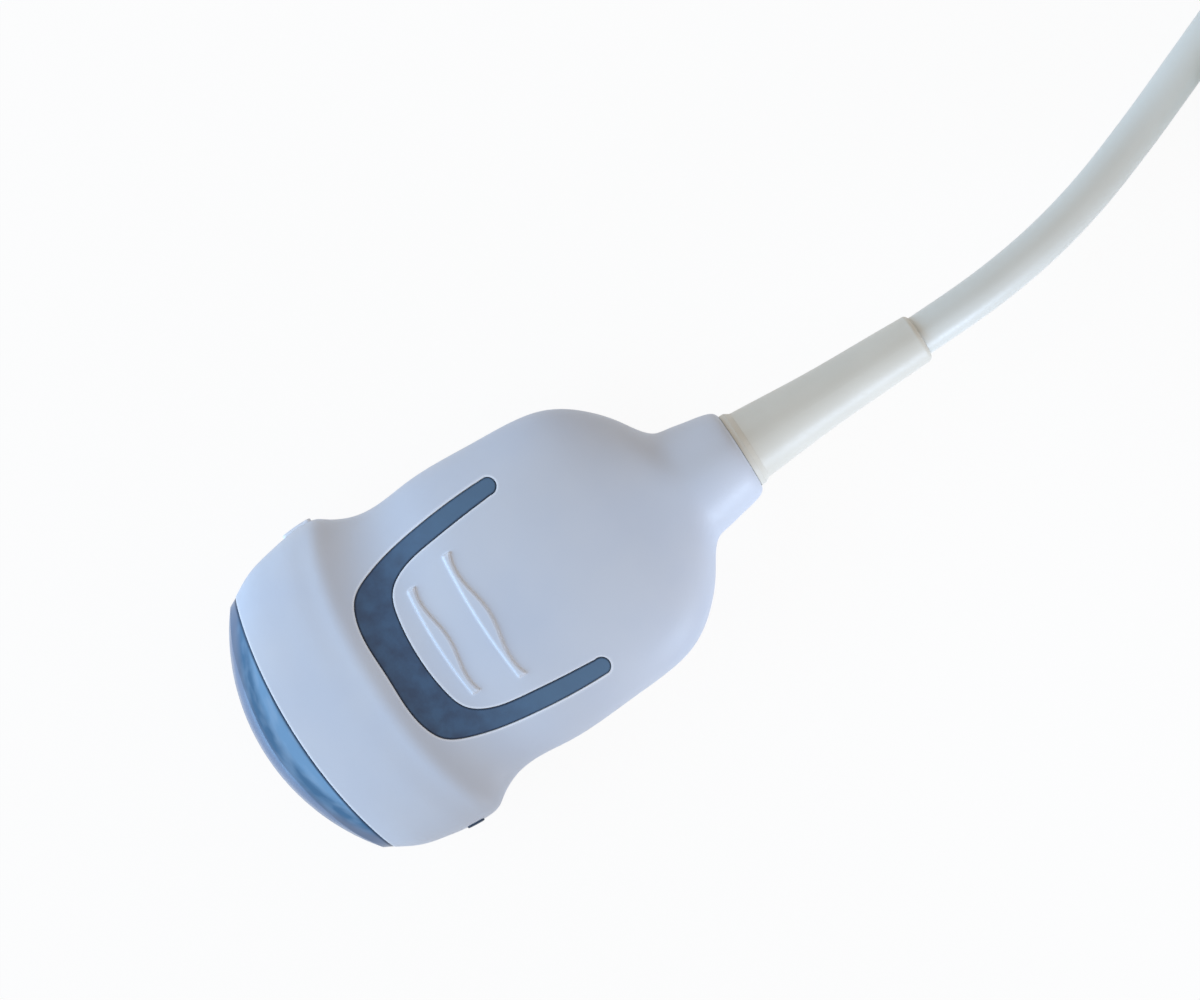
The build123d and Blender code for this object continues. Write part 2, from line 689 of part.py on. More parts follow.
# Conductors, clamp and strain relief in the neck
harness_start = carrier_start + carrier_length + board_gap
fan = Plane((harness_start, 0, 0), x_dir=(0, 1, 0), z_dir=(1, 0, 0)) * RectangleRounded(*harness_fan)
ending = Plane((harness_round, 0, 0), x_dir=(0, 1, 0), z_dir=(1, 0, 0)) * Circle(core_radius)
pieces["coax_harness"] = loft([fan, ending]) + rod(core_radius, harness_round, jacket_start)
sleeve = core_radius + fit_gap
pieces["cable_clamp"] = (rod(neck_bore - fit_gap, clamp_start, socket_start)
                         - rod(sleeve, clamp_start - over, socket_start + over))
pieces["seal_ring"] = (rod(socket_radius - fit_gap, socket_start + fit_gap, socket_start + seal_thick)
                       - rod(ferrule_radius + fit_gap, socket_start - over, socket_start + seal_thick + over))
pieces["crimp_ferrule"] = (rod(ferrule_radius, socket_start + fit_gap, ferrule_end)
                           - rod(sleeve, socket_start - over, ferrule_end + over))
pieces["strain_relief"] = strain_relief()

# Cable
near_x, hank_y = hank_place
far_x = near_x + hank_straight
hank_low = floor + tie_thick + tie_gap + cable_radius
hank_high = hank_low + 2 * cable_diameter * math.sin(math.radians(60))
outer_turn = hank_middle + cable_diameter
corners = [(hank_middle - cable_diameter, hank_low), (outer_turn, hank_low), (hank_middle, hank_high)]
bundle = make_hull([edge for r, z in corners for edge in (Pos(r, z) * Circle(cable_radius)).edges()])
entry_end, entry_point, entry_way = leave_hank(near_x, outer_turn, hank_low, -hank_entry, 0, -1)
exit_end, exit_point, _ = leave_hank(far_x, hank_middle, hank_high, *hank_exit, 1)
ring = revolve(Plane.XZ * bundle, Axis.Z)
to_near = Pos(near_x, hank_y, 0)
half_space = Box(2 * tall, 2 * tall, 2 * tall)
near_end = (to_near * ring + entry_end) & Pos(near_x - tall, hank_y, 0) * half_space
far_end = (Pos(far_x, hank_y, 0) * ring + exit_end) & Pos(far_x + tall, hank_y, 0) * half_space
hank = near_end + far_end
for side in (90, -90):
    hank += extrude(to_near * Rot(0, 0, side) * (Plane.XZ * bundle), hank_straight, dir=(1, 0, 0))
pieces["cable_hank"] = hank
strap = offset(bundle, tie_gap + tie_thick) - offset(bundle, tie_gap)
to_tie = Pos(near_x + (hank_straight - tie_width) / 2, hank_y, 0) * Rot(0, 0, 90)
pieces["hank_tie"] = extrude(to_tie * (Plane.XZ * strap), tie_width, dir=(1, 0, 0))
route = [Vector(p) for p in cable_route] + [entry_point + entry_way * entry_run, entry_point]
pieces["cable"] = cord_tube("cable", route)
plug_axis = floor + plug_split
plug_mouth = plug_start - plug_boot + jacket_in_plug
tail = [exit_point, Vector(tail_bend, plug_y, plug_axis), Vector(plug_mouth, plug_y, plug_axis)]
pieces["cable_tail"] = cord_tube("cable_tail", tail)

# Connector
plug_middle = plug_start + plug_length / 2
to_plug = Pos(plug_middle, plug_y, floor)
pieces.update({name: to_plug * shape for name, shape in connector().items()})

os.makedirs("parts", exist_ok=True)
for name, shape in pieces.items():
    solids = [to_stand * solid for solid in shape.solids()]
    export_step(solids[0] if len(solids) == 1 else Compound(solids), f"parts/{name}.step")
    print(name, len(solids), round(sum(solid.volume for solid in solids)))
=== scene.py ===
import bpy
import json
import math
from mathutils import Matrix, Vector


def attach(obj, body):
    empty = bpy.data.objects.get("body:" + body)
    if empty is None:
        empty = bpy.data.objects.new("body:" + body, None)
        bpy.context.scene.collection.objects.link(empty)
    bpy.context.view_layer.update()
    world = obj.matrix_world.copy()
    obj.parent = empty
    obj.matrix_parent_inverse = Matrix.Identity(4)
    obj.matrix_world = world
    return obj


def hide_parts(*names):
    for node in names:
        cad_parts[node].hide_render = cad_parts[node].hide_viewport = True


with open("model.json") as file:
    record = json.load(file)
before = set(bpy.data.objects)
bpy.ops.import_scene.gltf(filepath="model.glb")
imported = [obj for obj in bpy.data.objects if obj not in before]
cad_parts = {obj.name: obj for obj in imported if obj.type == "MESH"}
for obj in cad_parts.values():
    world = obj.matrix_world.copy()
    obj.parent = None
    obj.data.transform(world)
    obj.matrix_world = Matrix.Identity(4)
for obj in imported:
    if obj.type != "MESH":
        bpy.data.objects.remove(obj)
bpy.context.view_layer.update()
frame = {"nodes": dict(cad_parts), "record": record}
nodes = frame["nodes"]
scene = bpy.context.scene
scene.view_settings.view_transform = "Standard"


def mm(value):
    return value / 1000


# The camera looks straight down on the probe, turned so that the cable runs up to the right
view = {
    "aim": (7.0, 7.8, 16.2),  # mm, middle of the photograph's frame, on the probe's middle plane
    "height": 1000.0,  # mm from that plane to the camera
    "turn": -32.5,  # degrees
    "frameWidth": 275.2,  # mm across the frame at the aim
    "sensor": 36,  # mm
    "clip": (0.05, 20),  # m, from and to where it sees
}


def addCamera():
    camera = bpy.data.objects.new("camera", bpy.data.cameras.new("camera"))
    scene.collection.objects.link(camera)
    x, y, z = view["aim"]
    camera.location = (mm(x), mm(y), mm(z + view["height"]))
    camera.rotation_euler = (0, 0, math.radians(view["turn"]))
    camera.data.sensor_fit = "HORIZONTAL"
    camera.data.sensor_width = view["sensor"]
    camera.data.lens = view["sensor"] * view["height"] / view["frameWidth"]
    camera.data.clip_start, camera.data.clip_end = view["clip"]
    scene.camera = camera


addCamera()
print("camera ready")


def linear(hexColour):
    # sRGB hex to the linear values that Blender's sockets take
    parts = [int(hexColour[i:i + 2], 16) / 255 for i in (1, 3, 5)]
    values = [c / 12.92 if c <= 0.04045 else ((c + 0.055) / 1.055) ** 2.4 for c in parts]
    return (*values, 1.0)


def addNode(tree, kind, links=None, **settings):
    # one node with its settings; links give an input's name or number its value, hex colour or source.
    # A Mix node set to RGBA takes its two colours at inputs 6 and 7, and gives the result at output 2
    made = tree.nodes.new("ShaderNode" + kind)
    for name, value in settings.items():
        setattr(made, name, value)
    for name, value in (links or {}).items():
        if isinstance(value, bpy.types.NodeSocket):
            tree.links.new(value, made.inputs[name])
        else:
            made.inputs[name].default_value = linear(value) if isinstance(value, str) else value
    return made


def emptyMaterial(name):
    material = bpy.data.materials.new(name)
    material.use_nodes = True
    material.node_tree.nodes.clear()
    return material, material.node_tree


cloudSpan = (0.35, 0.65)  # part of the noise's range over which a cloud comes up


def addClouds(tree, where, size, low, high):
    # soft clouds about size mm across, as a value that goes from low to high
    noise = addNode(tree, "TexNoise", {"Vector": where, "Scale": 1000 / size, "Detail": 3.0})
    fromNoise, toNoise = cloudSpan
    return addNode(tree, "MapRange", {
        "Value": noise.outputs["Fac"],
        "From Min": fromNoise,
        "From Max": toNoise,
        "To Min": low,
        "To Max": high,
    }).outputs["Result"]


# Moulded finishes: colour, the tint that it clouds towards and how far, size of a cloud and of
# the grain in mm, height of the grain in mm, roughness, and for the sharp edges how far they are
# rounded and how far their painted colour reaches in mm, and that colour, which is painted light:
# a highlight where it is paler than the finish and shade where it is darker. Real grain is a tenth
# of a millimetre or finer and wouldn't show, so it is drawn coarser
moulded = {
    "housing_plastic": {  # a spark-eroded mould leaves a soft, wide sheen and no clear reflection
        "finish": "matt moulded ABS, pale lavender grey",
        "colour": "#d2d8e3",
        "tint": "#c8d1e1",
        "clouds": (0.6, 26.0),
        "grain": (0.5, 0.004),
        "roughness": 0.47,
        # painted highlight: its edges, and the rim round the inlay's recess, are drawn near white
        "edge": (0.45, 1.3, "#f4f8ff"),
    },
    "inlay_rubber": {  # soft to the touch and dull, with a dark line where it meets its recess
        "finish": "slate-blue elastomer, softly clouded",
        "colour": "#466281",
        "tint": "#3c4d67",
        "clouds": (0.8, 4.0),
        "paintedArmLight": ("#587692", -0.047, -0.027),  # painted light along its arms, which face up and catch more light: the colour, and between which x in m
        "grain": (0.5, 0.02),
        "roughness": 0.5,
        # painted shade: a dark line at its rim, where the gap to the recess lies in shadow
        "edge": (0.4, 0.8, "#14233a"),
    },
    "relief_rubber": {  # from a smooth mould, with one soft highlight along it
        "finish": "smooth warm-grey elastomer",
        "colour": "#e0ddd2",
        "tint": "#d8d5ca",
        "clouds": (0.5, 14.0),
        "grain": (0.6, 0.006),
        "roughness": 0.45,
        # painted shade: its edges, at the lip, are drawn darker
        "edge": (0.3, 0.3, "#b4b2a8"),
    },
    "cable_jacket": {  # extruded, so its highlight runs on evenly along the cable
        "finish": "light-grey cable jacket, slightly satin",
        "colour": "#e3e5df",
        "tint": "#dadcd6",
        "clouds": (0.5, 22.0),
        "grain": (0.8, 0.008),
        "roughness": 0.42,
        # painted shade: its edges are drawn darker
        "edge": (0.2, 0.2, "#c4c8c4"),
    },
    "plug_plastic": {  # a little duller than the head
        "finish": "light-grey moulded plastic with a spark-eroded grain",
        "colour": "#cfd2d8",
        "tint": "#c6cad2",
        "clouds": (0.5, 18.0),
        "grain": (0.5, 0.02),
        "roughness": 0.45,
        "edge": (0.4, 0.4, "#e0e3e8"),
    },
    "lever_plastic": {  # a faint satin shine on its rounded edges
        "finish": "slate-blue moulded plastic with a fine grain",
        "colour": "#4c6787",
        "tint": "#425a78",
        "clouds": (0.5, 9.0),
        "grain": (0.5, 0.02),
        "roughness": 0.42,
        "edge": (0.4, 0.4, "#5b7797"),
    },
    "contact_plastic": {  # the glass shows as paler specks in the black
        "finish": "black glass-filled plastic, faintly speckled",
        "colour": "#17181a",
        "tint": "#26282b",
        "clouds": (0.6, 0.7),
        "grain": (0.4, 0.015),
        "roughness": 0.5,
        "edge": (0.15, 0.15, "#34363a"),
    },
    "inner_plastic": {  # the glass makes it dull and faintly speckled
        "finish": "black nylon with glass fibre",
        "colour": "#1c1d20",
        "tint": "#2b2d31",
        "clouds": (0.6, 1.1),
        "grain": (0.5, 0.02),
        "roughness": 0.55,
        "edge": (0.2, 0.2, "#383b40"),
    },
    "backing_epoxy": {  # cast full of filler, so it is dull and mottled
        "finish": "dark filled epoxy, cast",
        "colour": "#1b1b1d",
        "tint": "#323235",
        "clouds": (0.7, 0.5),
        "grain": (0.35, 0.02),
        "roughness": 0.6,
        "edge": (0.15, 0.15, "#3c3c40"),
    },
    "epoxy_layer": {  # ground flat, which leaves it even and slightly satin
        "finish": "ground amber-grey epoxy",
        "colour": "#9a8f6c",
        "tint": "#86795a",
        "clouds": (0.6, 1.4),
        "grain": (0.3, 0.006),
        "roughness": 0.35,
        "edge": (0.1, 0.1, "#a89d7a"),
    },
    "piezo_ceramic": {  # sawn, so it is dry, matt and fine-grained
        "finish": "fine sawn ceramic, pale brown",
        "colour": "#a3947a",
        "tint": "#8b7d66",
        "clouds": (0.6, 0.6),
        "grain": (0.2, 0.008),
        "roughness": 0.7,
        "edge": (0.1, 0.1, "#b0a288"),
    },
    "header_plastic": {  # smooth, with a soft shine
        "finish": "ivory connector plastic",
        "colour": "#dcd5bd",
        "tint": "#cfc7ad",
        "clouds": (0.5, 3.0),
        "grain": (0.4, 0.01),
        "roughness": 0.45,
        "edge": (0.15, 0.15, "#e6dfc9"),
    },
    "seal_rubber": {  # the bloom greys its black
        "finish": "black seal rubber with a dusty bloom",
        "colour": "#141415",
        "tint": "#2a2a2b",
        "clouds": (0.6, 2.0),
        "grain": (0.4, 0.02),
        "roughness": 0.65,
        "edge": (0.15, 0.15, "#343435"),
    },
    "circuit_board": {  # the lacquer gives a clear shine
        "finish": "green solder mask with the weave showing faintly",
        "colour": "#14552c",
        "tint": "#1d6a39",
        "clouds": (0.6, 0.8),
        "grain": (0.5, 0.012),
        "roughness": 0.28,
        "edge": (0.1, 0.1, "#4d7f58"),
    },
    "flex_film": {  # rolled, so it is smooth and glossy
        "finish": "amber polyimide film",
        "colour": "#b36a1c",
        "tint": "#9b5613",
        "clouds": (0.5, 5.0),
        "grain": (1.0, 0.006),
        "roughness": 0.22,
        "edge": (0.05, 0.05, "#c07a30"),
    },
}
mouldedBasics = {
    "shine": 0.4,  # specular level
    "grainSpan": (0.3, 0.7),  # part of the noise's range over which the roughness goes up
    "grainRoughness": 0.05,  # how far it goes to either side
    "paintedArmLightShare": 0.85,  # how far the inlay's arms go to their painted paler colour
    "edgeSamples": 6,
    "paintedEdgeSpan": (0.99, 0.88),  # cosine between a face and its rounded normal, where the painted edge light is off and where fully on
}


def addMoulded(look):
    material, tree = emptyMaterial(look["finish"])
    where = addNode(tree, "TexCoord").outputs["Object"]
    share, size = look["clouds"]
    clouds = addClouds(tree, where, size, 0.0, share)
    clouded = addNode(tree, "Mix", {0: clouds, 6: look["colour"], 7: look["tint"]}, data_type="RGBA")
    colour = clouded.outputs[2]
    # painted light: the inlay's arms are drawn paler than the bottom of its U, as the arms catch more light
    if "paintedArmLight" in look:
        paintedArmLightColour, fromX, toX = look["paintedArmLight"]
        paintedArmLightMask = addNode(tree, "MapRange", {
            "Value": addNode(tree, "SeparateXYZ", {0: where}).outputs["X"],
            "From Min": fromX,
            "From Max": toX,
            "To Max": mouldedBasics["paintedArmLightShare"],
        }).outputs["Result"]
        colour = addNode(tree, "Mix", {0: paintedArmLightMask, 6: colour, 7: paintedArmLightColour}, data_type="RGBA").outputs[2]

    # where the rounded normal turns away from the face there is a sharp edge, and there the colour
    # goes over to the edge colour: a painted highlight on most parts, and painted shade on the inlay,
    # the strain relief and the cable
    roundedBy, reach, paintedEdgeLight = look["edge"]
    samples = mouldedBasics["edgeSamples"]
    rounded = addNode(tree, "Bevel", {"Radius": mm(roundedBy)}, samples=samples).outputs["Normal"]
    near = rounded
    if reach != roundedBy:
        near = addNode(tree, "Bevel", {"Radius": mm(reach)}, samples=samples).outputs["Normal"]
    facing = addNode(tree, "NewGeometry").outputs["Normal"]
    turned = addNode(tree, "VectorMath", {0: near, 1: facing}, operation="DOT_PRODUCT").outputs["Value"]
    offEdge, onEdge = mouldedBasics["paintedEdgeSpan"]
    edge = addNode(tree, "MapRange", {"Value": turned, "From Min": offEdge, "From Max": onEdge})
    share = edge.outputs["Result"]
    colour = addNode(tree, "Mix", {0: share, 6: colour, 7: paintedEdgeLight}, data_type="RGBA").outputs[2]

    grainSize, grainHeight = look["grain"]
    grain = addNode(tree, "TexNoise", {"Vector": where, "Scale": 1000 / grainSize}).outputs["Fac"]
    smooth, rough = mouldedBasics["grainSpan"]
    roughness = addNode(tree, "MapRange", {
        "Value": grain,
        "From Min": smooth,
        "From Max": rough,
        "To Min": look["roughness"] - mouldedBasics["grainRoughness"],
        "To Max": look["roughness"] + mouldedBasics["grainRoughness"],
    })
    raised = addNode(tree, "Bump", {"Height": grain, "Distance": mm(grainHeight), "Normal": rounded})
    shader = addNode(tree, "BsdfPrincipled", {
        "Base Color": colour,
        "Roughness": roughness.outputs["Result"],
        "Specular IOR Level": mouldedBasics["shine"],
        "Normal": raised.outputs["Normal"],
    })
    addNode(tree, "OutputMaterial", {"Surface": shader.outputs[0]})
    return material


lensLook = {
    "finish": "glossy blue-grey silicone over the dark array",
    "inner": "#7aa8d0",  # beside the housing: its blue-grey with a painted pale reflection
    "paintedDarkReflection": "#4a789f",  # a painted dark reflection along its middle, over the array
    "outer": "#76859e",  # at its outer edge: its blue-grey with a painted reflection
    "paintedSeamShadow": "#2a435e",  # painted shadow: the dark line where it meets the housing
    "reflectionColour": "#a3c4e4",  # painted pale reflections, smeared along the lens
    "axis": (-36.55, 0.0),  # mm, the axis that the lens is bent round
    "reflectionBands": ((46.5, 47.9), (48.9, 50.4)),  # mm from the axis, where the painted reflections change from inner to the dark band and to outer
    "seamAxis": (42.05, 0.0),  # mm, the axis that the front of the housing is bent round
    "seamShadowBand": (122.25, 122.7),  # mm from that axis, where the painted shadow line ends
    "reflectionStrength": 0.34,
    "reflectionSize": (9.0, 2.2, 4.4),  # mm along the lens, mm outwards and mm in height
    "reflectionSpan": (0.45, 0.65),  # part of the noise's range over which a painted reflection comes up
    "reflectionLeft": 0.15,  # share of the painted reflections that is left on the outer face
    "bend": 52.0,  # mm, radius at which the painted reflections have their length
    "roughness": (0.32, 0.44),
    "dullPatch": 6.0,  # mm across a duller patch
    "shine": 0.35,  # specular level
    "coat": (0.25, 0.3),  # how strong and how rough its skin is
    "ripple": (3.0, 0.03),  # mm across and mm high
}


def reachFrom(tree, where, axis):
    # from an upright axis given in mm: the way there in plan, and its length
    x, y = axis
    away = addNode(tree, "VectorMath", {0: where, 1: (mm(x), mm(y), 0)}, operation="SUBTRACT")
    flat = addNode(tree, "VectorMath", {0: away.outputs[0], 1: (1, 1, 0)}, operation="MULTIPLY").outputs[0]
    return flat, addNode(tree, "VectorMath", {0: flat}, operation="LENGTH").outputs["Value"]


def addLensSilicone():
    # gives the lens its shine, and paints reflections onto its blue-grey: a darker band along its middle,
    # pale smeared reflections beside it, and a painted shadow along its seam
    material, tree = emptyMaterial(lensLook["finish"])
    where = addNode(tree, "TexCoord").outputs["Object"]
    flat, reach = reachFrom(tree, where, lensLook["axis"])
    # painted reflection: the lens's blue-grey is banded by distance from its axis, as its gloss would reflect
    # the room
    colour = lensLook["inner"]
    for (fromReach, toReach), nextColour in zip(lensLook["reflectionBands"], (lensLook["paintedDarkReflection"], lensLook["outer"])):
        band = addNode(tree, "MapRange", {"Value": reach, "From Min": mm(fromReach), "From Max": mm(toReach)})
        share = band.outputs["Result"]
        colour = addNode(tree, "Mix", {0: share, 6: colour, 7: nextColour}, data_type="RGBA").outputs[2]

    # the painted reflections run along the lens, so they are laid out by how far round its axis and how far
    # from it
    plan = addNode(tree, "SeparateXYZ", {0: flat})
    slope = addNode(tree, "Math", {0: plan.outputs["Y"], 1: plan.outputs["X"]}, operation="DIVIDE")
    height = addNode(tree, "SeparateXYZ", {0: where}).outputs["Z"]
    wound = addNode(tree, "CombineXYZ", {"X": slope.outputs[0], "Y": reach, "Z": height})
    along, outwards, upwards = lensLook["reflectionSize"]
    perReflection = (lensLook["bend"] / along, 1000 / outwards, 1000 / upwards)
    laidOut = addNode(tree, "VectorMath", {0: wound.outputs[0], 1: perReflection}, operation="MULTIPLY")
    noise = addNode(tree, "TexNoise", {"Vector": laidOut.outputs[0], "Scale": 1.0})
    fromNoise, toNoise = lensLook["reflectionSpan"]
    paintedReflections = addNode(tree, "MapRange", {
        "Value": noise.outputs["Fac"],
        "From Min": fromNoise,
        "From Max": toNoise,
        "To Max": lensLook["reflectionStrength"],
    }).outputs["Result"]
    kept = addNode(tree, "MapRange", {"Value": share, "To Min": 1.0, "To Max": lensLook["reflectionLeft"]})
    pale = addNode(tree, "Math", {0: paintedReflections, 1: kept.outputs["Result"]}, operation="MULTIPLY").outputs[0]
    colour = addNode(tree, "Mix", {0: pale, 6: colour, 7: lensLook["reflectionColour"]}, data_type="RGBA").outputs[2]

    # painted shadow: a dark line along the seam where the lens meets the housing
    _, seamReach = reachFrom(tree, where, lensLook["seamAxis"])
    fromSeam, toSeam = lensLook["seamShadowBand"]
    paintedSeamShadow = addNode(tree, "MapRange", {
        "Value": seamReach,
        "From Min": mm(fromSeam),
        "From Max": mm(toSeam),
        "To Min": 1.0,
        "To Max": 0.0,
    }).outputs["Result"]
    colour = addNode(tree, "Mix", {0: paintedSeamShadow, 6: colour, 7: lensLook["paintedSeamShadow"]}, data_type="RGBA").outputs[2]

    rippleSize, rippleHeight = lensLook["ripple"]
    ripple = addNode(tree, "TexNoise", {"Vector": where, "Scale": 1000 / rippleSize}).outputs["Fac"]
    raised = addNode(tree, "Bump", {"Height": ripple, "Distance": mm(rippleHeight)})
    skin, skinRoughness = lensLook["coat"]
    shader = addNode(tree, "BsdfPrincipled", {
        "Base Color": colour,
        "Roughness": addClouds(tree, where, lensLook["dullPatch"], *lensLook["roughness"]),
        "Specular IOR Level": lensLook["shine"],
        "Coat Weight": skin,
        "Coat Roughness": skinRoughness,
        "Normal": raised.outputs["Normal"],
    })
    addNode(tree, "OutputMaterial", {"Surface": shader.outputs[0]})
    return material


# Metals: finish, colour, roughness, size of the tool marks in mm along x, y and z, and their height.
# The marks pull the shine out into streaks across them; real ones are finer and wouldn't show
metals = {
    "plain_steel": ("turned steel, fine tool rings", "#b4b4b6", 0.3, (9.0, 9.0, 0.12), 0.003),
    "shroud_metal": ("plated die casting, softly brushed", "#c3c5c8", 0.34, (4.0, 0.15, 0.15), 0.003),
    "contact_metal": ("thin gold plating on flat pads", "#d9ac4e", 0.24, (0.4, 0.4, 0.4), 0.002),
    "copper": ("plain copper plate, slightly tarnished", "#c07a45", 0.36, (6.0, 0.2, 0.2), 0.003),
}
metalDulling = (5.0, 0.06, 0.1)  # mm across a duller patch, how much smoother and how much rougher it gets


def addMetal(finish, colour, roughness, marks, height):
    material, tree = emptyMaterial(finish)
    where = addNode(tree, "TexCoord").outputs["Object"]
    perMark = [1000 / size for size in marks]
    laidOut = addNode(tree, "VectorMath", {0: where, 1: perMark}, operation="MULTIPLY")
    lines = addNode(tree, "TexNoise", {"Vector": laidOut.outputs[0], "Scale": 1.0}).outputs["Fac"]
    raised = addNode(tree, "Bump", {"Height": lines, "Distance": mm(height)})
    patch, smoother, rougher = metalDulling
    shader = addNode(tree, "BsdfPrincipled", {
        "Base Color": colour,
        "Metallic": 1.0,
        "Roughness": addClouds(tree, where, patch, roughness - smoother, roughness + rougher),
        "Normal": raised.outputs["Normal"],
    })
    addNode(tree, "OutputMaterial", {"Surface": shader.outputs[0]})
    return material


# Woven finishes: finish, colour of the threads and between them, pitch and height of the weave in
# mm. The dark between the threads makes them dull and gives them a fine even check
woven = {
    "tie_fabric": ("black hook-and-loop strap, woven", "#202124", "#0b0b0c", 0.9, 0.12),
    "harness_tape": ("white woven tape over the wires", "#cfd0cc", "#a3a49f", 1.2, 0.08),
}
weave = {
    "roughness": 0.85,
    "waver": 0.6,  # how far a thread strays
    "bandsPerUnit": 3.2,  # bands that a wave texture has in one unit at a scale of 1
}


def addWoven(finish, colour, between, pitch, height):
    material, tree = emptyMaterial(finish)
    where = addNode(tree, "TexCoord").outputs["Object"]
    threads = [
        addNode(tree, "TexWave", {
            "Vector": where,
            "Scale": 1000 / pitch / weave["bandsPerUnit"],
            "Distortion": weave["waver"],
            "Detail": 1.0,
            "Detail Scale": 2.0,
        }, bands_direction=way).outputs["Fac"]
        for way in ("X", "Z")
    ]
    crossed = addNode(tree, "Math", {0: threads[0], 1: threads[1]}, operation="MULTIPLY").outputs[0]
    shade = addNode(tree, "Mix", {0: crossed, 6: between, 7: colour}, data_type="RGBA")
    raised = addNode(tree, "Bump", {"Height": crossed, "Distance": mm(height)})
    shader = addNode(tree, "BsdfPrincipled", {
        "Base Color": shade.outputs[2],
        "Roughness": weave["roughness"],
        "Normal": raised.outputs["Normal"],
    })
    addNode(tree, "OutputMaterial", {"Surface": shader.outputs[0]})
    return material


def addMaterials():
    made = {slot: addMoulded(look) for slot, look in moulded.items()}
    made.update({slot: addMetal(*look) for slot, look in metals.items()})
    made.update({slot: addWoven(*look) for slot, look in woven.items()})
    made["lens_silicone"] = addLensSilicone()
    return made


materials = addMaterials()
for part in frame["record"]["subparts"]:
    slots = nodes[part["node"]].data.materials
    slots.clear()
    slots.append(materials[part["material_slot"]])
print("materials ready")

# The cable, along the route that the part lays out, in metres
cable = {
    "diameter": 0.0096,
    "exit": (0.08895, 0.0, 0.0162),  # mouth of the strain relief
    "length": 1.9,  # about what such a probe has
    "toHank": [
        (0.06145, 0.0, 0.0162),
        (0.09545, 0.0, 0.0162),
        (0.11845, 0.0017, 0.0134),
        (0.13845, 0.0059, 0.0094),
        (0.15807, 0.01271, 0.0059),
        (0.17569, 0.01983, 0.0059),
    ],
    "hankEnds": (0.22145, 0.27145),  # x of the middles of its two ends
    "hankY": -0.0108,
    "lowTurn": 0.0059,  # height of the first layer's cable
    "layer": 0.008314,  # from one layer to the next
    "turns": [  # bend and layer of each turn, from the first
        (0.0456, 0),
        (0.0360, 0),
        (0.0264, 0),
        (0.0312, 1),
        (0.0408, 1),
        (0.0360, 2),
    ],
    "entry": 22.0,  # degrees between the cable and the hank where it joins and where it leaves
    "arcSteps": 9,  # points round each half turn
    "runSteps": 4,  # points along each straight
    "smoothness": (6, 6),  # steps along it between two points, and how finely it is round
    "hump": 0.0014,  # how much each layer rises where its turns step sideways
    "toPlug": [
        (0.33845, 0.001, 0.0220),
        (0.35445, 0.001, 0.0220),
    ],
}


def turnHeight(layer):
    return cable["lowTurn"] + layer * cable["layer"]


def arcPoints(middleX, radius, fromAngle, toAngle, steps, fromHeight, toHeight):
    # control points lie outside the round line, so that the curve keeps its radius, and the height
    # changes gently at both ends
    step = (toAngle - fromAngle) / steps
    grown = radius / math.cos(math.radians(step / 2))
    points = []
    for i in range(steps):
        share = (i + 0.5) / steps
        angle = math.radians(fromAngle + step * (i + 0.5))
        height = fromHeight + (toHeight - fromHeight) * share * share * (3 - 2 * share)
        points.append((middleX + grown * math.cos(angle), cable["hankY"] + grown * math.sin(angle), height))
    return points


def hankPoints():
    near, far = cable["hankEnds"]
    turns = cable["turns"]
    steps = cable["runSteps"]
    shares = [k / (steps + 1) for k in range(1, steps + 1)]
    firstRadius, firstLayer = turns[0]
    lastRadius, lastLayer = turns[-1]
    low, high = turnHeight(firstLayer), turnHeight(lastLayer)
    points = arcPoints(near, firstRadius, 90 + cable["entry"], 90, 1, low, low)
    for (radius, layer), (nextRadius, nextLayer) in zip(turns, turns[1:]):
        height, nextHeight = turnHeight(layer), turnHeight(nextLayer)
        points += [(near + (far - near) * share, cable["hankY"] + radius, height) for share in shares]
        points += arcPoints(far, radius, 90, -90, cable["arcSteps"], height, nextHeight)
        for share in shares:
            beside = radius + (nextRadius - radius) * share
            rise = nextLayer * cable["hump"] * math.sin(math.pi * share)
            points.append((far + (near - far) * share, cable["hankY"] - beside, nextHeight + rise))
        points += arcPoints(near, nextRadius, -90, -270, cable["arcSteps"], nextHeight, nextHeight)
    points += [(near + (far - near) * share, cable["hankY"] + lastRadius, high) for share in shares]
    points += arcPoints(far, lastRadius, 90, 90 - cable["entry"], 1, high, high)
    return points


def addCable():
    points = cable["toHank"] + hankPoints() + cable["toPlug"]
    curve = bpy.data.curves.new("probe_cable", "CURVE")
    curve.dimensions = "3D"
    spline = curve.splines.new("NURBS")
    spline.points.add(len(points) - 1)
    for point, place in zip(spline.points, points):
        point.co = (*place, 1)
    spline.order_u = 3
    spline.use_endpoint_u = True
    curve.bevel_depth = cable["diameter"] / 2
    spline.resolution_u, curve.bevel_resolution = cable["smoothness"]
    curve.use_fill_caps = True
    made = bpy.data.objects.new("probe_cable", curve)
    scene.collection.objects.link(made)
    return made


cord = addCable()
cord.data.materials.append(materials["cable_jacket"])
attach(cord, "probe")
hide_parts("cable", "cable_hank", "cable_tail")
print("cable ready")

# Soft studio light: a faintly warm room all round, a cool window beyond the lens, and a small
# lamp low beside the neck, which lights the near half of the strain relief and the cable. Places
# and sizes are in metres, spreads in degrees and powers in watts
light = {
    "room": {"strength": 0.53, "colour": "#fff6ee"},
    "window": {
        "place": (-1.12, 0.32, 0.42),
        "aim": (0.0, 0.0, 0.02),
        "size": 1.2,
        "spread": 180,
        "power": 19.0,
        "colour": "#aed8ff",
    },
    "lamp": {
        "place": (0.15, -0.36, 0.085),
        "aim": (0.06, 0.0, 0.016),
        "size": 0.12,
        "spread": 40,
        "power": 0.068,
        "colour": "#d2e5ff",
    },
}


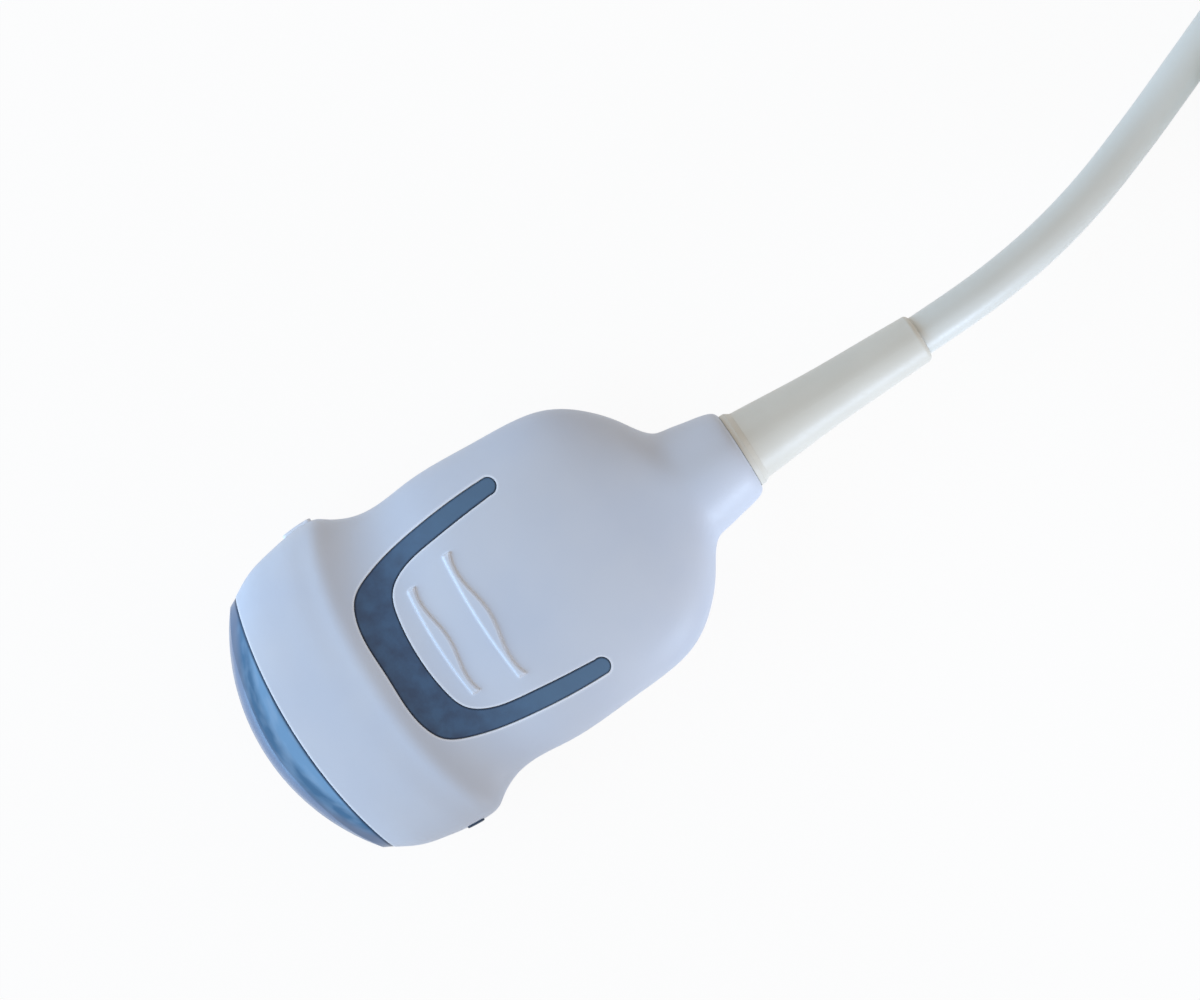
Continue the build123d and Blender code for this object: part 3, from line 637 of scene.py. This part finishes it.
def addLight(name):
    look = light[name]
    lamp = bpy.data.lights.new(name, "AREA")
    lamp.size = look["size"]
    lamp.spread = math.radians(look["spread"])
    lamp.energy = look["power"]
    lamp.color = linear(look["colour"])[:3]
    holder = bpy.data.objects.new(name, lamp)
    holder.location = look["place"]
    holder.rotation_euler = (Vector(look["aim"]) - holder.location).to_track_quat("-Z", "Y").to_euler()
    holder.visible_camera = False
    scene.collection.objects.link(holder)


def addWorld():
    world = bpy.data.worlds.new("studio")
    world.use_nodes = True
    background = world.node_tree.nodes["Background"]
    background.inputs["Color"].default_value = linear(light["room"]["colour"])
    background.inputs["Strength"].default_value = light["room"]["strength"]
    scene.world = world


floorLook = {
    "half": 6.0,  # m from its middle to each side
    "paper": 0.86,  # share of the light that it gives back
    "whiteness": 0.93,  # how much of it is plain white to the camera and in reflections
}


def addFloor():
    mesh = bpy.data.meshes.new("floor")
    half = floorLook["half"]
    corners = [(-half, -half, 0), (half, -half, 0), (half, half, 0), (-half, half, 0)]
    mesh.from_pydata(corners, [], [(0, 1, 2, 3)])
    floor = bpy.data.objects.new("floor", mesh)
    scene.collection.objects.link(floor)
    # white to the camera and in reflections, but it keeps the shadow that the probe throws
    material, tree = emptyMaterial("white studio paper")
    paper = addNode(tree, "BsdfDiffuse", {"Color": (*[floorLook["paper"]] * 3, 1)})
    glow = addNode(tree, "Emission", {"Color": (1, 1, 1, 1)})
    rays = addNode(tree, "LightPath")
    seen = rays.outputs["Is Camera Ray"]
    for other in ("Is Glossy Ray", "Is Transmission Ray"):
        seen = addNode(tree, "Math", {0: seen, 1: rays.outputs[other]}, operation="MAXIMUM").outputs[0]
    share = addNode(tree, "Math", {0: seen, 1: floorLook["whiteness"]}, operation="MULTIPLY")
    mix = addNode(tree, "MixShader", {0: share.outputs[0], 1: paper.outputs[0], 2: glow.outputs[0]})
    addNode(tree, "OutputMaterial", {"Surface": mix.outputs[0]})
    mesh.materials.append(material)


addWorld()
for name in ("window", "lamp"):
    addLight(name)
addFloor()
print("studio ready")
